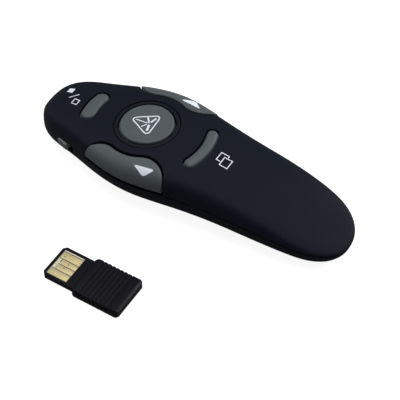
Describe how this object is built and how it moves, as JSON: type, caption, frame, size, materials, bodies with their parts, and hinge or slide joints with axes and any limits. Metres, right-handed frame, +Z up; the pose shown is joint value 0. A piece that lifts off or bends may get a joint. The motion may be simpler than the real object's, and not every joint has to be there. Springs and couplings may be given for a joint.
{
  "type": "wireless presentation clicker",
  "caption": "Hand-held wireless presentation clicker with a thumb laser key, flank page keys, a side power slider, a battery cover and a separate USB receiver.",
  "frame": {"origin": "on the table under the middle of the body, in the plane of its flat belly", "axes": "+X from the laser nose to the tail, +Z up, the power slider and the receiver on the -Y side"},
  "size_m": [0.1111, 0.0768, 0.0204],
  "materials": {
    "soft_touch": "soft-touch matte",
    "ring_gloss": "satin",
    "key_grey": "satin",
    "slider_grey": "satin",
    "plated_steel": "zinc plated",
    "dark_lens": "polished",
    "clear_lens": "polished",
    "circuit_board": "solder mask",
    "receiver_blue_black": "satin",
    "chip_black": "moulded",
    "cell_wrap": "printed film",
    "spring_nickel": "nickel plated",
    "barrel_brass": "turned",
    "tinned_wire": "tinned",
    "receiver_black": "fine matte",
    "gold_contact": "gold plated",
    "switch_case": "moulded",
    "switch_plunger": "moulded"
  },
  "bodies": {
    "housing": {"upper_shell": "soft_touch", "lower_shell": "soft_touch", "bezel_ring": "ring_gloss", "case_screws": "plated_steel", "nose_window": "dark_lens", "main_board": "circuit_board", "board_chips": "chip_black", "laser_switch": "switch_case", "next_switch": "switch_case", "previous_switch": "switch_case", "blank_switch": "switch_case", "window_switch": "switch_case", "near_cell": "cell_wrap", "far_cell": "cell_wrap", "positive_contact": "spring_nickel", "negative_contact": "spring_nickel", "bridge_contact": "spring_nickel", "laser_barrel": "barrel_brass", "collimator_lens": "clear_lens", "laser_diode": "spring_nickel", "laser_driver": "circuit_board", "laser_leads": "tinned_wire", "power_switch_case": "spring_nickel"},
    "laser_button": {"laser_key": "key_grey", "laser_plunger": "switch_plunger"},
    "next_button": {"next_key": "key_grey", "next_plunger": "switch_plunger"},
    "previous_button": {"previous_key": "key_grey", "previous_plunger": "switch_plunger"},
    "blank_button": {"blank_key": "key_grey", "blank_plunger": "switch_plunger"},
    "window_button": {"window_key": "key_grey", "window_plunger": "switch_plunger"},
    "slider": {"power_slider": "slider_grey", "power_switch_lever": "chip_black"},
    "cover": {"battery_cover": "soft_touch"},
    "receiver": {"receiver_housing": "receiver_black", "receiver_tongue": "receiver_black", "receiver_board": "receiver_blue_black", "receiver_contacts": "gold_contact", "receiver_chip": "chip_black"}
  },
  "joints": [
    {"name": "laser_press", "type": "slide", "parent": "housing", "child": "laser_button", "axis": [0, 0, -1], "range_m": [0, 0.0005], "stiffness_N_per_m": 300, "springref_m": -0.0005},
    {"name": "next_press", "type": "slide", "parent": "housing", "child": "next_button", "axis": [0, 0, -1], "range_m": [0, 0.0005], "stiffness_N_per_m": 300, "springref_m": -0.0005},
    {"name": "previous_press", "type": "slide", "parent": "housing", "child": "previous_button", "axis": [0, 0, -1], "range_m": [0, 0.0005], "stiffness_N_per_m": 300, "springref_m": -0.0005},
    {"name": "blank_press", "type": "slide", "parent": "housing", "child": "blank_button", "axis": [0, 0, -1], "range_m": [0, 0.0005], "stiffness_N_per_m": 300, "springref_m": -0.0005},
    {"name": "window_press", "type": "slide", "parent": "housing", "child": "window_button", "axis": [0, 0, -1], "range_m": [0, 0.0005], "stiffness_N_per_m": 300, "springref_m": -0.0005},
    {"name": "power_slide", "type": "slide", "parent": "housing", "child": "slider", "axis": [0.9537, -0.3007, 0], "range_m": [0, 0.0026]},
    {"name": "cover_hinge", "type": "hinge", "parent": "housing", "child": "cover", "pos_m": [-0.0182, 0, 0], "axis": [0, 1, 0], "range_deg": [0, 40]},
    {"name": "receiver_lift", "type": "slide", "parent": "housing", "child": "receiver", "axis": [0, 0, 1], "range_m": [0, 0.03]}
  ]
}
